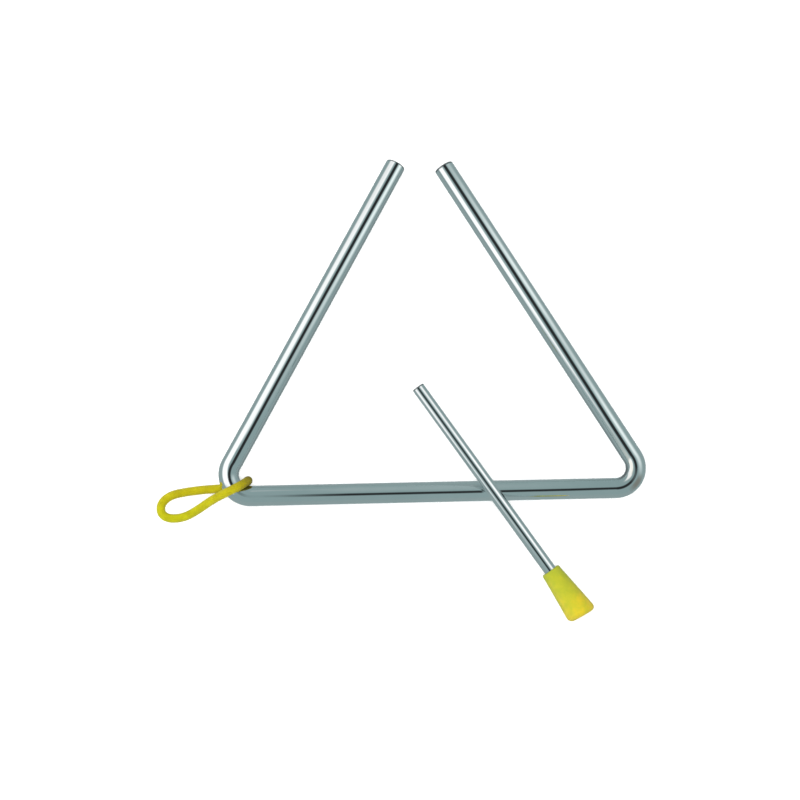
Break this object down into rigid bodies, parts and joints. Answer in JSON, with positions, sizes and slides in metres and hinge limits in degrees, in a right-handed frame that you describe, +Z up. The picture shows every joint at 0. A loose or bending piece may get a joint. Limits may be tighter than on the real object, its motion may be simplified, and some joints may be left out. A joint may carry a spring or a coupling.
{
  "type": "triangle instrument",
  "caption": "Steel bar bent into an open triangle and struck to ring, with a hanging cord loop round one bend and a beater whose rod ends in a tapered grip.",
  "frame": {"origin": "on the surface that the part lies on, under the middle of the triangle and beater together", "axes": "+X to the right along the base bar, +Y from the base bar towards the open corner, +Z up off the surface"},
  "size_m": [0.1948, 0.1904, 0.0197],
  "materials": {
    "bar_chrome": "polished",
    "cord_yellow": "braided",
    "rod_chrome": "polished",
    "grip_yellow": "satin moulded"
  },
  "bodies": {
    "triangle": {"triangle_bar": "bar_chrome"},
    "hanger": {"hanger_cord": "cord_yellow"},
    "beater": {"beater_rod": "rod_chrome", "beater_grip": "grip_yellow"}
  },
  "joints": [
    {"name": "hanger_swing", "type": "hinge", "parent": "triangle", "child": "hanger", "pos_m": [-0.0801, -0.03772, 0.0076], "axis": [-0.5, 0.866, 0], "range_deg": [0, 180]},
    {"name": "beater_lift", "type": "slide", "parent": "triangle", "child": "beater", "axis": [0, 0, 1], "range_m": [0, 0.12]}
  ]
}
